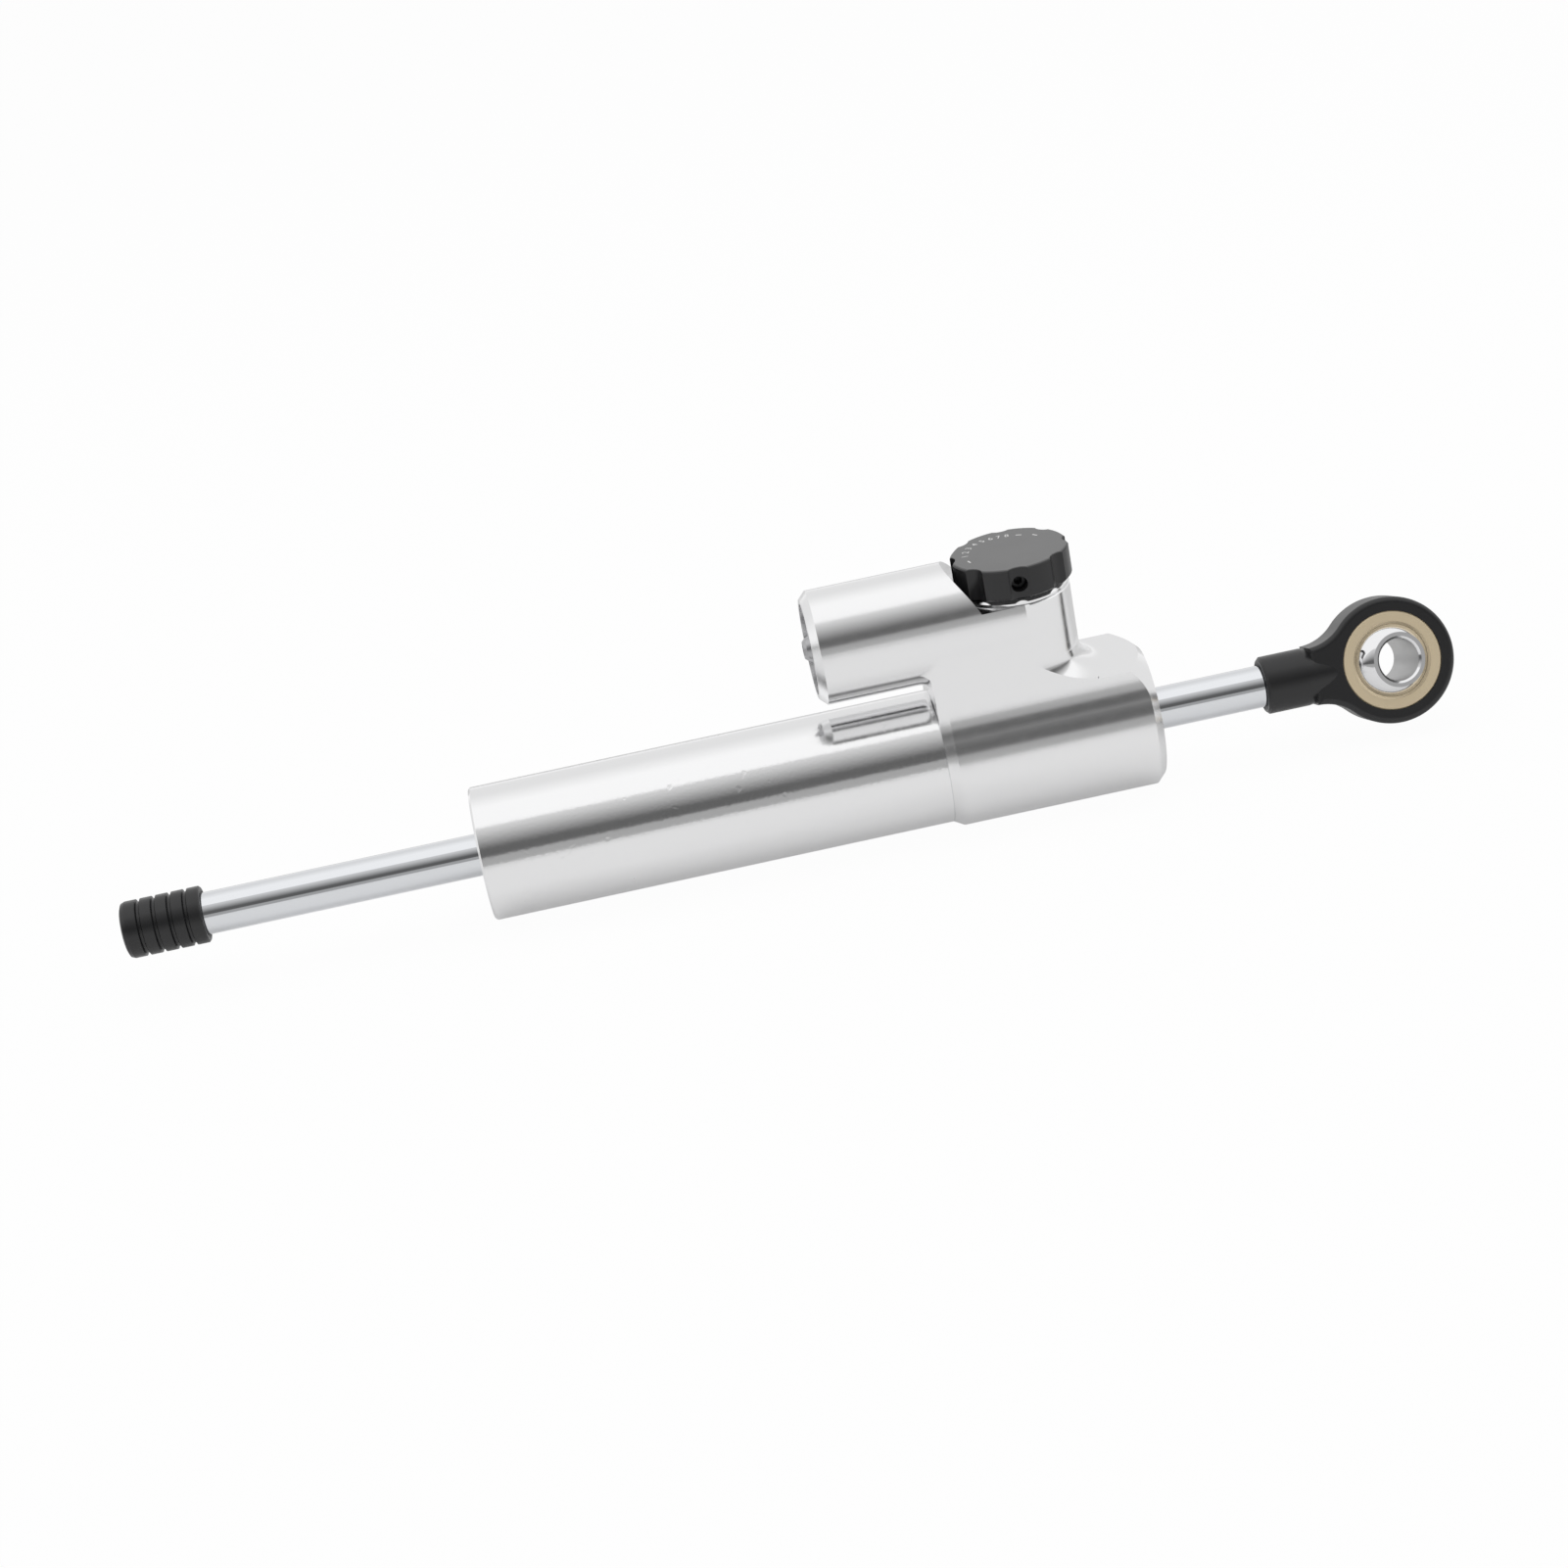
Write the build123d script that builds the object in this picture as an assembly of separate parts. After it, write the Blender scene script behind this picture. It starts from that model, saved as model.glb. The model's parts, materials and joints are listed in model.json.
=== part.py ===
from build123d import *
import os
from math import sqrt

# Steering damper: a double-ended rod slides through an oil-filled tube and a valve head.
# The origin is the centre of the rod-end ball, +X runs along the rod towards the rod end,
# and +Z is the adjuster's axis. Millimetres.

# Rod, its stroke and its studs
rod_d = 8.0
stroke_in = 21.0
stroke_out = 51.5
travel_gap = 0.8
stud_d = 6.0
stud_length = 9.0
stud_socket = 3.0
edge_break = 0.3

# Rod end with its spherical bearing
ball_d = 15.875
ball_width = 12.0
ball_bore = 8.0
ball_chamfer = 0.45
race_d = 18.8
eye_d = 24.0
eye_width = 9.0
eye_round = 1.1
shank_d = 11.0
shank_reach = 24.4
shank_straight = 8.2
shank_blend = 9.0
eye_turn = 18.0
ball_tilt = 10.0

# Travel-stop cap on the free end of the rod
cap_d = 10.8
cap_length = 15.2
cap_grooves = 4
cap_pitch = 2.95
cap_first_groove = 3.1
cap_groove_width = 0.9
cap_groove_depth = 0.5

# Outer tube, working tube and the oil gap between them
tube_d = 25.4
tube_wall = 1.7
tube_visible = 88.0
spigot_step = 0.9
tube_spigot_length = 8.8
oil_gap = 1.0
liner_wall = 1.0
gland_depth = 11.5
port_d = 2.4

# Piston on the rod
piston_length = 10.0
piston_land = 0.4
piston_band_width = 5.0
piston_band_wall = 1.2
end_gap = 0.25
rod_clip_thick = 1.0
rod_clip_d = 11.0
rod_clip_groove = 0.7

# Valve head: round body, flat pad, web, tower and reservoir cut from one piece
head_step = 1.1
nose_reach = 21.7
butt_reach = 19.0
nose_chamfer = 1.5
butt_chamfer = 1.9
pad_height = 13.15
pad_edge = 0.4
web_d = 20.4
reservoir_d = 21.6
web_fillet = 2.0
foot_fillet = 5.0
tower_rise = 3.5
tower_break = 0.2
reservoir_height = 26.5
reservoir_reach = 39.6
reservoir_chamfer = 1.4
reservoir_bore = 17.0
reservoir_floor = 12.0
pocket_d = 26.0
guide_seat = 6.0
nose_bore = 8.8
nose_recess = 3.2

# Seals and bushes
seal_d = 14.0
seal_length = 3.0
wiper_d = 13.0
wiper_lip = 0.4
bush_d = 10.4
bush_length = 5.0
cord_d = 1.5
tube_cord_d = 0.9
tube_ring_inset = 3.4
clip_thick = 0.8
clip_bite = 0.6
clip_band = 1.4

# Compensating piston and spring in the reservoir
float_length = 6.0
float_rest = 18.6
lid_thick = 4.0
lid_recess = 1.7
spring_wire = 0.9
spring_coils = 4.0

# Adjuster
knob_d = 22.0
knob_height = 6.05
knob_gap = 0.35
knob_wall = 1.6
flute_count = 8
flute_radius = 2.6
flute_depth = 1.0
flute_turn = -2.0
grub_d = 3.0
grub_length = 5.0
grub_height = 2.7
grub_socket = 1.5
bonnet_rim = 1.2
rim_break = 0.25
bonnet_inset = 0.15
bonnet_d = 14.0
bonnet_length = 10.0
bonnet_seal = 0.8
valve_web = 3.0
spindle_d = 6.0
spindle_collar_d = 9.0
spindle_collar = 1.2
tang_width = 2.0
tang_length = 5.0
needle_d = 7.0
needle_headroom = 1.75
needle_tip_d = 2.6
needle_lift = 0.75
orifice_d = 3.0
gallery_width = 4.0
gallery_depth = 2.6
guide_port_d = 1.6
click_radius = 8.6
click_ball_d = 2.0
click_rise = 0.3
click_spring_length = 3.0
click_spring_wire = 0.3

# Bleed screw in the reservoir's lid
bleed_d = 3.0
bleed_head_d = 5.0
bleed_head = 2.3
bleed_length = 3.2
bleed_socket = 2.0
washer_thick = 0.4

# Clearances
run_gap = 0.03
seat_gap = 0.02
thread_gap = 0.05
face_gap = 0.1

# Stations along the rod, worked out from the ball towards the cap
rod_r = rod_d / 2
shank_x = -shank_reach
nose_x = shank_x - travel_gap - stroke_in
valve_x = nose_x - nose_reach
butt_x = valve_x - butt_reach
tube_x = butt_x - tube_visible
cap_x = tube_x - wiper_lip - travel_gap - stroke_out
cap_end_x = cap_x - cap_length
left_face_x = tube_x + gland_depth
chamber = piston_length + stroke_in + stroke_out + 2 * end_gap
right_face_x = left_face_x + chamber
piston_x = left_face_x + end_gap + stroke_in
seat_x = valve_x + guide_seat
spigot_end_x = butt_x + tube_spigot_length
tube_ring_x = butt_x + tube_ring_inset
liner_seat_x = spigot_end_x + 1.0
liner_left_x = left_face_x - 3.0
tube_bore = tube_d - 2 * tube_wall
tube_spigot_d = tube_d - 2 * spigot_step
head_r = tube_d / 2 + head_step
web_r = web_d / 2
blend_radius = (pad_height ** 2 - head_r ** 2 + web_r ** 2) / (2 * (head_r - web_r))
reservoir_r = reservoir_d / 2
liner_r = tube_bore / 2 - oil_gap
bore_r = liner_r - liner_wall
reservoir_x = valve_x - reservoir_reach
floor_x = valve_x - reservoir_floor
lid_x = reservoir_x + lid_recess
float_x = valve_x - float_rest
tower_height = reservoir_height + tower_rise
knob_z = tower_height + bonnet_rim + knob_gap
bonnet_foot = tower_height - bonnet_length
valve_bore_r = needle_d / 2 + 0.6
valve_floor = liner_r + valve_web

# Solids of revolution placed by the middle of their lower face
stand = (Align.CENTER, Align.CENTER, Align.MIN)


def turned(*corners):
    """Solid turned about the rod's axis from (x, radius) corners."""
    return revolve(Plane.XZ * make_face(Polyline(*corners, close=True)), Axis.X)


def stood(*corners):
    """Solid turned about the adjuster's axis from (radius, z) corners."""
    return Pos(valve_x, 0, 0) * revolve(Plane.XZ * make_face(Polyline(*corners, close=True)), Axis.Z)


def ring(x0, x1, inner, outer):
    """Plain ring on the rod's axis."""
    return turned((x0, inner), (x1, inner), (x1, outer), (x0, outer))


def o_ring(x, outer, height=0.0, cord=cord_d):
    """Ring of round cord on an axis along X, from its outer radius."""
    return Pos(x, 0, height) * Rot(Y=90) * Torus(outer - cord / 2, cord / 2)


def drilled(x, y, z, diameter, depth, turn=(0, 0, 0)):
    """Round drilling that starts at a point and runs along the local +Z."""
    hole = Cylinder(diameter / 2, depth, align=stand)
    return Pos(x, y, z) * Rot(*turn) * hole


def inner_clip(bore, x, height=0.0):
    """Retaining ring for a bore: open band with two drilled ears, sprung into its groove."""
    outer = bore / 2 + clip_bite - seat_gap
    inner = bore / 2 - clip_band
    ear = clip_band * 0.9
    spread = ear + 0.5
    band = Circle(outer) - Circle(inner)
    band -= Pos(0, -outer) * Rectangle(2 * spread, 2 * outer)
    for side in (-1, 1):
        band += Pos(side * spread, -inner) * Circle(ear) & Circle(bore / 2 - 0.1)
    for side in (-1, 1):
        band -= Pos(side * spread, -inner) * Circle(0.5)
    return extrude(Plane.YZ.offset(x) * (Pos(0, height) * band), amount=clip_thick)


def coil(radius, wire, length, turns):
    """Round-wire coil spring that stands on the local XY plane."""
    path = Helix(pitch=(length - wire) / turns, height=length - wire, radius=radius)
    section = Plane(origin=path @ 0, z_dir=path % 0) * Circle(wire / 2)
    return Pos(0, 0, wire / 2) * sweep(section, path=path, is_frenet=True)


# Rod group

def rod():
    """Chromed rod with a shouldered stud at each end and two clip grooves for the piston."""
    start = cap_x - stud_socket
    end = shank_x + stud_socket
    stud_r = stud_d / 2
    body = turned(
        (start - stud_length, 0),
        (start - stud_length, stud_r - edge_break),
        (start - stud_length + edge_break, stud_r),
        (start, stud_r),
        (start, rod_r - edge_break),
        (start + edge_break, rod_r),
        (end - edge_break, rod_r),
        (end, rod_r - edge_break),
        (end, stud_r),
        (end + stud_length - edge_break, stud_r),
        (end + stud_length, stud_r - edge_break),
        (end + stud_length, 0),
    )
    for x in rod_clip_places():
        body -= ring(x, x + rod_clip_thick, rod_r - rod_clip_groove, rod_r + 1)
    return body


def rod_clip_places():
    """Left faces of the two clips that hold the piston on the rod."""
    depth = rod_clip_thick + 2 * face_gap
    return (piston_x + face_gap, piston_x + piston_length - depth + face_gap)


def piston_clips():
    """Two open clips in the rod's grooves, one each side of the piston."""
    inner = rod_r - rod_clip_groove + seat_gap
    mouth = Pos(0, -rod_clip_d / 2) * Rectangle(inner * 1.3, rod_clip_d)
    blank = Circle(rod_clip_d / 2) - Circle(inner) - mouth
    clips = [extrude(Plane.YZ.offset(x) * blank, amount=rod_clip_thick) for x in rod_clip_places()]
    return Compound(children=[clip.solid() for clip in clips])


def piston():
    """Piston with end recesses for the clips, a groove for its band and one for its inner seal."""
    outer = bore_r - piston_land
    inner = rod_r + run_gap
    recess = rod_clip_thick + 2 * face_gap
    recess_r = rod_clip_d / 2 + 0.3
    right = piston_x + piston_length
    middle = piston_x + piston_length / 2
    body = turned(
        (piston_x, recess_r),
        (piston_x + recess, recess_r),
        (piston_x + recess, inner),
        (right - recess, inner),
        (right - recess, recess_r),
        (right, recess_r),
        (right, outer - edge_break),
        (right - edge_break, outer),
        (piston_x + edge_break, outer),
        (piston_x, outer - edge_break),
    )
    band_floor = bore_r - run_gap - piston_band_wall - seat_gap
    band_half = piston_band_width / 2 + face_gap
    body -= ring(middle - band_half, middle + band_half, band_floor, bore_r)
    return body - ring(middle - cord_d / 2, middle + cord_d / 2, rod_r, rod_r + cord_d + 2 * run_gap)


def piston_band():
    """Sliding band round the piston, the part that touches the working tube."""
    middle = piston_x + piston_length / 2
    outer = bore_r - run_gap
    inner = outer - piston_band_wall
    half = piston_band_width / 2
    return turned(
        (middle - half, inner),
        (middle + half, inner),
        (middle + half, outer - edge_break),
        (middle + half - edge_break, outer),
        (middle - half + edge_break, outer),
        (middle - half, outer - edge_break),
    )


def piston_seal():
    """Cord ring between the piston and the rod."""
    return o_ring(piston_x + piston_length / 2, rod_r + run_gap + cord_d)


def rod_cap():
    """Grooved stop cap, screwed on the rod's stud, with a round nose and a countersunk mouth."""
    outer = cap_d / 2
    nose = 1.0
    socket = rod_r + seat_gap
    thread = stud_d / 2 + seat_gap
    mouth = 0.7
    steps = [
        (cap_end_x, 0),
        (cap_end_x, outer - nose),
        (cap_end_x + 0.3 * nose, outer - 0.3 * nose),
        (cap_end_x + nose, outer),
    ]
    for n in range(cap_grooves):
        x = cap_end_x + cap_first_groove + n * cap_pitch
        end = x + cap_groove_width
        wall = cap_groove_width / 4
        floor = outer - cap_groove_depth
        steps += [(x, outer), (x + wall, floor), (end - wall, floor), (end, outer)]
    steps += [
        (cap_x - 0.3, outer),
        (cap_x, outer - 0.3),
        (cap_x, socket + mouth),
        (cap_x - mouth, socket),
        (cap_x - stud_socket, socket),
        (cap_x - stud_socket, thread),
        (cap_x - stud_socket - stud_length - 0.5, thread),
        (cap_x - stud_socket - stud_length - 0.5, 0),
    ]
    return turned(*steps)


# Rod end, drawn with its bore along Y and then turned about the rod

def eye_outline():
    """Outline of the eye in the plane of the rod: a disc that runs into the shank by two fillets."""
    disc_r = eye_d / 2
    half = shank_d / 2
    reach = sqrt((disc_r + shank_blend) ** 2 - (half + shank_blend) ** 2)
    touch = disc_r / (disc_r + shank_blend)
    neck = (-reach, half)
    cheek = (-reach * touch, (half + shank_blend) * touch)
    outline = Circle(disc_r)
    for side in (-1, 1):
        edge = [
            Line((-reach, 0), (neck[0], side * neck[1])),
            RadiusArc((neck[0], side * neck[1]), (cheek[0], side * cheek[1]), -side * shank_blend),
            Line((cheek[0], side * cheek[1]), (0, 0)),
            Line((0, 0), (-reach, 0)),
        ]
        outline += make_face(edge)
    return outline


def rod_end_housing():
    """Forged eye with flat faces, blended into a round shank that is screwed on the rod."""
    half = eye_width / 2
    plate = extrude(Plane.XZ.offset(-half) * eye_outline(), amount=eye_width)
    rims = plate.edges().filter_by(lambda e: abs(abs(e.center().Y) - half) < 1e-6)
    plate = fillet(rims, eye_round)
    neck_x = shank_x + shank_straight
    shank_r = shank_d / 2
    shank = turned(
        (shank_x, 0),
        (shank_x, shank_r - 0.5),
        (shank_x + 0.5, shank_r),
        (neck_x, shank_r),
        (neck_x + shank_r, half),
        (neck_x + shank_r + 2, half),
        (neck_x + shank_r + 2, 0),
    )
    body = plate + shank
    body -= Rot(X=90) * Cylinder(race_d / 2, 2 * eye_width)
    socket = rod_r + seat_gap
    thread = stud_d / 2 + seat_gap
    mouth = 0.7
    body -= turned(
        (shank_x - 1, 0),
        (shank_x - 1, socket + mouth + 1),
        (shank_x + mouth, socket),
        (shank_x + stud_socket, socket),
        (shank_x + stud_socket, thread),
        (shank_x + stud_socket + stud_length + 0.3, thread),
        (shank_x + stud_socket + stud_length + 0.3, 0),
    )
    return Rot(X=-eye_turn) * body


def bearing_race():
    """Brass race pressed in the eye, with a spherical seat and a coined lip on each face."""
    half = eye_width / 2
    outer = race_d / 2 - seat_gap
    lip = 0.5
    blank = Cylinder(outer, eye_width)
    blank = chamfer(blank.edges().filter_by(GeomType.CIRCLE), 0.25)
    blank -= Sphere(ball_d / 2 + run_gap)
    mouth = sqrt((ball_d / 2 + run_gap) ** 2 - (half - lip) ** 2)
    flare = Cone(mouth, mouth + lip + 0.1, lip + 0.1, align=stand)
    blank -= Pos(0, 0, half - lip) * flare
    blank -= Pos(0, 0, lip - half) * Rot(X=180) * flare
    return Rot(X=-eye_turn) * Rot(X=90) * blank


def bearing_ball():
    """Bored ball that takes the bolt, tilted in its race."""
    ball = Sphere(ball_d / 2) & Cylinder(ball_d, ball_width)
    ball -= Cylinder(ball_bore / 2, 2 * ball_width)
    depth = 2 * ball_chamfer
    flare = Cone(ball_bore / 2, ball_bore / 2 + depth, depth, align=stand)
    ball -= Pos(0, 0, ball_width / 2 - ball_chamfer) * flare
    ball -= Pos(0, 0, ball_chamfer - ball_width / 2) * Rot(X=180) * flare
    return Rot(X=-eye_turn) * Rot(Z=ball_tilt) * Rot(X=90) * ball


# Tubes

def outer_tube():
    """Polished tube: clip groove at the free end, threaded spigot at the head end."""
    outer = tube_d / 2
    inner = tube_bore / 2
    spigot = tube_spigot_d / 2
    body = turned(
        (tube_x, inner + 0.3),
        (tube_x + 0.3, inner),
        (spigot_end_x, inner),
        (spigot_end_x, spigot - 0.3),
        (spigot_end_x - 0.3, spigot),
        (butt_x, spigot),
        (butt_x, outer - 0.15),
        (butt_x - 0.15, outer),
        (tube_x + 0.4, outer),
        (tube_x, outer - 0.4),
    )
    groove_x = tube_x + wiper_shelf() - clip_thick
    return body - ring(groove_x, groove_x + clip_thick, inner - 1, inner + clip_bite)


def wiper_shelf():
    """Distance from the tube's free end to the gland's outer face."""
    return clip_thick + 0.7


def working_tube():
    """Inner tube that the piston runs in, with two ports into the oil gap beside the gland."""
    body = ring(liner_left_x, liner_seat_x, bore_r, liner_r)
    for turn in (0, 180):
        body -= drilled(left_face_x + port_d / 2 + 0.2, 0, 0, port_d, 2 * liner_r, (turn, 0, 0))
    return body


# Gland at the free end of the tube

def left_gland():
    """Rod guide that closes the tube's free end and centres the working tube."""
    outer_x = tube_x + wiper_shelf()
    body = turned(
        (outer_x, wiper_d / 2),
        (outer_x + seal_length, wiper_d / 2),
        (outer_x + seal_length, rod_r + 0.4),
        (outer_x + seal_length + 0.5, rod_r + 0.4),
        (outer_x + seal_length + 0.5, bush_d / 2),
        (left_face_x, bush_d / 2),
        (left_face_x, bore_r - seat_gap - 0.3),
        (left_face_x - 0.3, bore_r - seat_gap),
        (liner_left_x, bore_r - seat_gap),
        (liner_left_x, tube_bore / 2 - seat_gap),
        (outer_x, tube_bore / 2 - seat_gap),
    )
    groove_x = (outer_x + liner_left_x) / 2
    floor = tube_bore / 2 - seat_gap - cord_d - seat_gap
    return body - ring(groove_x - cord_d / 2, groove_x + cord_d / 2, floor, tube_bore / 2)


def left_gland_ring():
    """Cord ring between the gland and the tube."""
    middle = (tube_x + wiper_shelf() + liner_left_x) / 2
    return o_ring(middle, tube_bore / 2 - seat_gap)


def left_bush():
    """Plain bearing of the rod in the gland."""
    start = tube_x + wiper_shelf() + seal_length + 0.5
    return ring(start, left_face_x, rod_r + run_gap, bush_d / 2 - seat_gap)


def left_seal():
    """Lip seal and wiper in the gland, its lip standing just out of the tube."""
    start = tube_x + wiper_shelf()
    inner = rod_r + run_gap
    outer = wiper_d / 2 - seat_gap
    return turned(
        (start + seal_length, inner),
        (start + seal_length, outer),
        (start, outer),
        (start, outer - 1.2),
        (tube_x + 0.6, inner + 1.4),
        (tube_x - wiper_lip, inner + 0.3),
        (tube_x - wiper_lip, inner),
    )


def left_clip():
    """Retaining ring that holds the gland in the tube."""
    return inner_clip(tube_bore, tube_x + wiper_shelf() - clip_thick)


# Guide inside the valve head

def right_guide():
    """Rod guide inside the head: spigot for the working tube, oil gallery under the needle valve."""
    outer = liner_r - seat_gap
    half = gallery_width / 2
    floor = outer - gallery_depth
    seal_x = seat_x - seal_length
    body = turned(
        (right_face_x, bush_d / 2),
        (right_face_x + bush_length, bush_d / 2),
        (right_face_x + bush_length, rod_r + 0.4),
        (seal_x, rod_r + 0.4),
        (seal_x, seal_d / 2),
        (seat_x, seal_d / 2),
        (seat_x, outer),
        (valve_x + half, outer),
        (valve_x + half, floor),
        (valve_x - half, floor),
        (valve_x - half, outer),
        (liner_seat_x, outer),
        (liner_seat_x, bore_r - seat_gap),
        (right_face_x + 0.3, bore_r - seat_gap),
        (right_face_x, bore_r - seat_gap - 0.3),
    )
    groove_x = (liner_seat_x + valve_x - half) / 2
    body -= ring(groove_x - cord_d / 2, groove_x + cord_d / 2, outer - cord_d - seat_gap, liner_r)
    reach = valve_x - right_face_x + 1
    for n in range(4):
        way = drilled(right_face_x - 1, 0, (bush_d / 2 + bore_r) / 2, guide_port_d, reach, (0, 90, 0))
        body -= Rot(X=45 + 90 * n) * way
    return body


def right_guide_ring():
    """Cord ring that parts the oil gap from the gallery."""
    return o_ring((liner_seat_x + valve_x - gallery_width / 2) / 2, liner_r - seat_gap)


def right_bush():
    """Plain bearing of the rod in the guide."""
    return ring(right_face_x, right_face_x + bush_length, rod_r + run_gap, bush_d / 2 - seat_gap)


def right_seal():
    """Rod seal held between the guide and the head."""
    inner = rod_r + run_gap
    outer = seal_d / 2 - seat_gap
    start = seat_x - seal_length
    return turned(
        (start, inner + 1.0),
        (start + 1.2, inner + 0.5),
        (start + 0.6, inner),
        (seat_x, inner),
        (seat_x, outer),
        (start, outer),
    )


def nose_wiper():
    """Wiper in the head's outer end."""
    inner = rod_r + run_gap
    outer = wiper_d / 2 - seat_gap
    return turned(
        (nose_x - nose_recess, inner),
        (nose_x - 0.2, inner),
        (nose_x - 0.2, inner + 0.3),
        (nose_x - 1.2, inner + 1.2),
        (nose_x - 0.5, outer),
        (nose_x - nose_recess, outer),
    )


def tube_ring():
    """Thin cord ring that seals the tube's spigot in the head."""
    outer = tube_spigot_d / 2 + seat_gap + tube_cord_d
    return o_ring(tube_ring_x, outer, cord=tube_cord_d)


# Valve head

def head_section():
    """Cross-section of the head: a circle whose hollow blends run up into a flat-sided web."""
    touch = head_r / (head_r + blend_radius)
    low = ((web_r + blend_radius) * touch, pad_height * touch)
    edges = [
        ThreePointArc((-low[0], low[1]), (0, -head_r), low),
        RadiusArc(low, (web_r, pad_height), blend_radius),
        Line((web_r, pad_height), (web_r, reservoir_height)),
        Line((web_r, reservoir_height), (-web_r, reservoir_height)),
        Line((-web_r, reservoir_height), (-web_r, pad_height)),
        RadiusArc((-web_r, pad_height), (-low[0], low[1]), blend_radius),
    ]
    return make_face(edges)


def web_block():
    """Half of the head towards the tube, with a long chamfer round its end face."""
    block = extrude(Plane.YZ.offset(butt_x) * head_section(), amount=butt_reach)
    end_face = block.faces().sort_by(Axis.X)[0]
    rim = end_face.edges().filter_by(lambda e: e.center().Z < reservoir_height - 0.1)
    wall = head_step - seat_gap
    return chamfer(rim, length=wall, length2=butt_chamfer, reference=end_face)


def pad_block():
    """Half of the head towards the nose, cut level for the pad, with broken edges."""
    level = Pos(0, pad_height) * Rectangle(4 * head_r, 4 * head_r, align=(Align.CENTER, Align.MAX))
    outline = head_section() & level
    for side in (-1, 1):
        corner = Rot(Z=45) * Rectangle(pad_edge * sqrt(2), pad_edge * sqrt(2))
        outline -= Pos(side * web_r, pad_height) * corner
    block = extrude(Plane.YZ.offset(valve_x) * outline, amount=nose_reach)
    far = 2 * head_r
    return block & turned(
        (valve_x - 1, 0),
        (valve_x - 1, far),
        (nose_x - nose_chamfer - far + head_r, far),
        (nose_x, head_r - nose_chamfer),
        (nose_x, 0),
    )


def tower_foot():
    """Hollow fillet between the tower and the pad, cut off flush with the block's sides."""
    inner = web_r - 1
    edges = [
        Line((inner, pad_height - 1), (web_r + foot_fillet, pad_height - 1)),
        Line((web_r + foot_fillet, pad_height - 1), (web_r + foot_fillet, pad_height)),
        RadiusArc((web_r + foot_fillet, pad_height), (web_r, pad_height + foot_fillet), foot_fillet),
        Line((web_r, pad_height + foot_fillet), (inner, pad_height + foot_fillet)),
        Line((inner, pad_height + foot_fillet), (inner, pad_height - 1)),
    ]
    ring_foot = revolve(Plane.XZ * make_face(edges), Axis.Z)
    side = Box(4 * web_r, 2 * web_r, pad_height + foot_fillet, align=(Align.MIN, Align.CENTER, Align.MIN))
    return Pos(valve_x, 0, 0) * (ring_foot & side)


def valve_head():
    """Valve head: body, web, tower and reservoir in one piece, with its bores and oil ways."""
    tower = Cylinder(web_r, tower_height - head_r / 2, align=stand)
    tower = chamfer(tower.edges().filter_by(GeomType.CIRCLE).group_by(Axis.Z)[-1], tower_break)
    pocket = Cylinder(pocket_d / 2, reservoir_d, align=stand)
    reservoir = Pos(0, 0, reservoir_height) * turned(
        (reservoir_x, 0),
        (reservoir_x, reservoir_r - reservoir_chamfer),
        (reservoir_x + reservoir_chamfer, reservoir_r),
        (valve_x, reservoir_r),
        (valve_x, 0),
    )
    body = web_block() + reservoir
    body = fillet(inner_corner(body), web_fillet)
    body -= Pos(valve_x, 0, tower_height) * pocket
    body += pad_block()
    body += Pos(valve_x, 0, head_r / 2) * tower
    body += tower_foot()
    return body - head_bores()


def inner_corner(body):
    """Edges where the web runs up into the underside of the reservoir."""
    def under(edge):
        middle = edge @ 0.5
        drop = reservoir_height - middle.Z
        inside = butt_x - 0.01 < middle.X < valve_x - 0.1
        return inside and drop > 0 and abs(sqrt(middle.Y ** 2 + drop ** 2) - reservoir_r) < 0.01

    return body.edges().filter_by(under)


def head_bores():
    """Everything bored or drilled in the head."""
    spigot = tube_spigot_d / 2 + seat_gap
    main = turned(
        (butt_x - 1, 0),
        (butt_x - 1, spigot),
        (tube_ring_x - tube_cord_d / 2, spigot),
        (tube_ring_x - tube_cord_d / 2, spigot + tube_cord_d + seat_gap),
        (tube_ring_x + tube_cord_d / 2, spigot + tube_cord_d + seat_gap),
        (tube_ring_x + tube_cord_d / 2, spigot),
        (liner_seat_x, spigot),
        (liner_seat_x, liner_r),
        (seat_x, liner_r),
        (seat_x, nose_bore / 2),
        (nose_x - nose_recess, nose_bore / 2),
        (nose_x - nose_recess, wiper_d / 2),
        (nose_x + 1, wiper_d / 2),
        (nose_x + 1, 0),
    )
    lip = reservoir_x - 1
    clip_x = lid_x - clip_thick
    reservoir = Pos(0, 0, reservoir_height) * turned(
        (lip, 0),
        (lip, reservoir_bore / 2),
        (clip_x, reservoir_bore / 2),
        (clip_x, reservoir_bore / 2 + clip_bite),
        (lid_x, reservoir_bore / 2 + clip_bite),
        (lid_x, reservoir_bore / 2),
        (floor_x, reservoir_bore / 2),
        (floor_x, 0),
    )
    valve = stood(
        (0, valve_floor),
        (valve_bore_r, valve_floor),
        (valve_bore_r, bonnet_foot - bonnet_seal),
        (bonnet_d / 2, bonnet_foot - bonnet_seal),
        (bonnet_d / 2, tower_height + 1),
        (0, tower_height + 1),
    )
    orifice = drilled(valve_x, 0, liner_r - 1, orifice_d, valve_floor - liner_r + 2)
    way_z = valve_floor + 2
    gap_x = spigot_end_x + 0.5
    riser = drilled(gap_x, 0, liner_r - 1, 2.0, way_z - liner_r + 2)
    cross = drilled(gap_x - 1, 0, way_z, 2.0, valve_x - gap_x, (0, 90, 0))
    feed_z = reservoir_height - reservoir_bore / 2 + 2
    feed = drilled(floor_x - 1, 0, feed_z, orifice_d, reservoir_floor, (0, 90, 0))
    return main + reservoir + valve + orifice + riser + cross + feed + click_hole()


# Reservoir

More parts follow.
